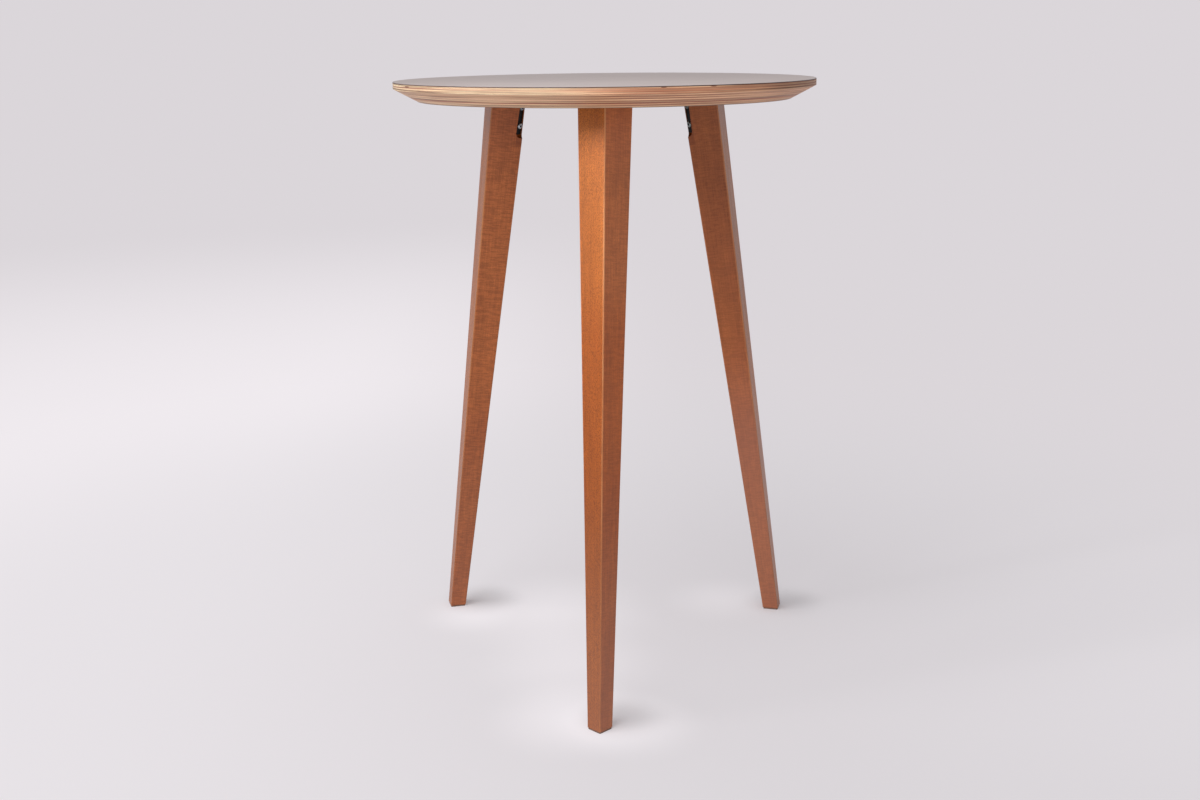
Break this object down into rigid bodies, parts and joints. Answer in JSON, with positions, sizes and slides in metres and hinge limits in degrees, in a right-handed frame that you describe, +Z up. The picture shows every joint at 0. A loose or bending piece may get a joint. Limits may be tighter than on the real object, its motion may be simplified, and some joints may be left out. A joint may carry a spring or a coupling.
{
  "type": "high table",
  "caption": "Round high table: bevelled plywood top with a thin laminate face, on splayed, tapered square legs that steel angle brackets bolt to its underside.",
  "frame": {"origin": "on the floor, on the vertical axis through the centre of the round top", "axes": "+Z up; -Y towards the leg that stands alone at the front; +X to its right as seen from there"},
  "size_m": [0.6999, 0.7217, 1.005],
  "materials": {
    "laminate": "matt grey-taupe laminate with a dark core line at its edge",
    "plywood": "clear-lacquered plywood edge, plies on show",
    "backing": "matt brown balancing laminate",
    "stained_beech": "beech, stained reddish brown, satin lacquer",
    "black_steel": "black powder coat",
    "zinc_steel": "bright zinc-plated steel",
    "insert_zinc": "zinc alloy, dull",
    "glide_plastic": "dark grey hard plastic"
  },
  "bodies": {
    "root": {"tabletop_core": "plywood", "top_laminate": "laminate", "backing_laminate": "backing", "leg_front": "stained_beech", "bracket_front": "black_steel", "leg_bolts_front": "zinc_steel", "leg_inserts_front": "insert_zinc", "top_bolts_front": "zinc_steel", "top_inserts_front": "insert_zinc", "foot_glide_front": "glide_plastic", "glide_screw_front": "zinc_steel", "leg_back_right": "stained_beech", "bracket_back_right": "black_steel", "leg_bolts_back_right": "zinc_steel", "leg_inserts_back_right": "insert_zinc", "top_bolts_back_right": "zinc_steel", "top_inserts_back_right": "insert_zinc", "foot_glide_back_right": "glide_plastic", "glide_screw_back_right": "zinc_steel", "leg_back_left": "stained_beech", "bracket_back_left": "black_steel", "leg_bolts_back_left": "zinc_steel", "leg_inserts_back_left": "insert_zinc", "top_bolts_back_left": "zinc_steel", "top_inserts_back_left": "insert_zinc", "foot_glide_back_left": "glide_plastic", "glide_screw_back_left": "zinc_steel"}
  },
  "joints": []
}
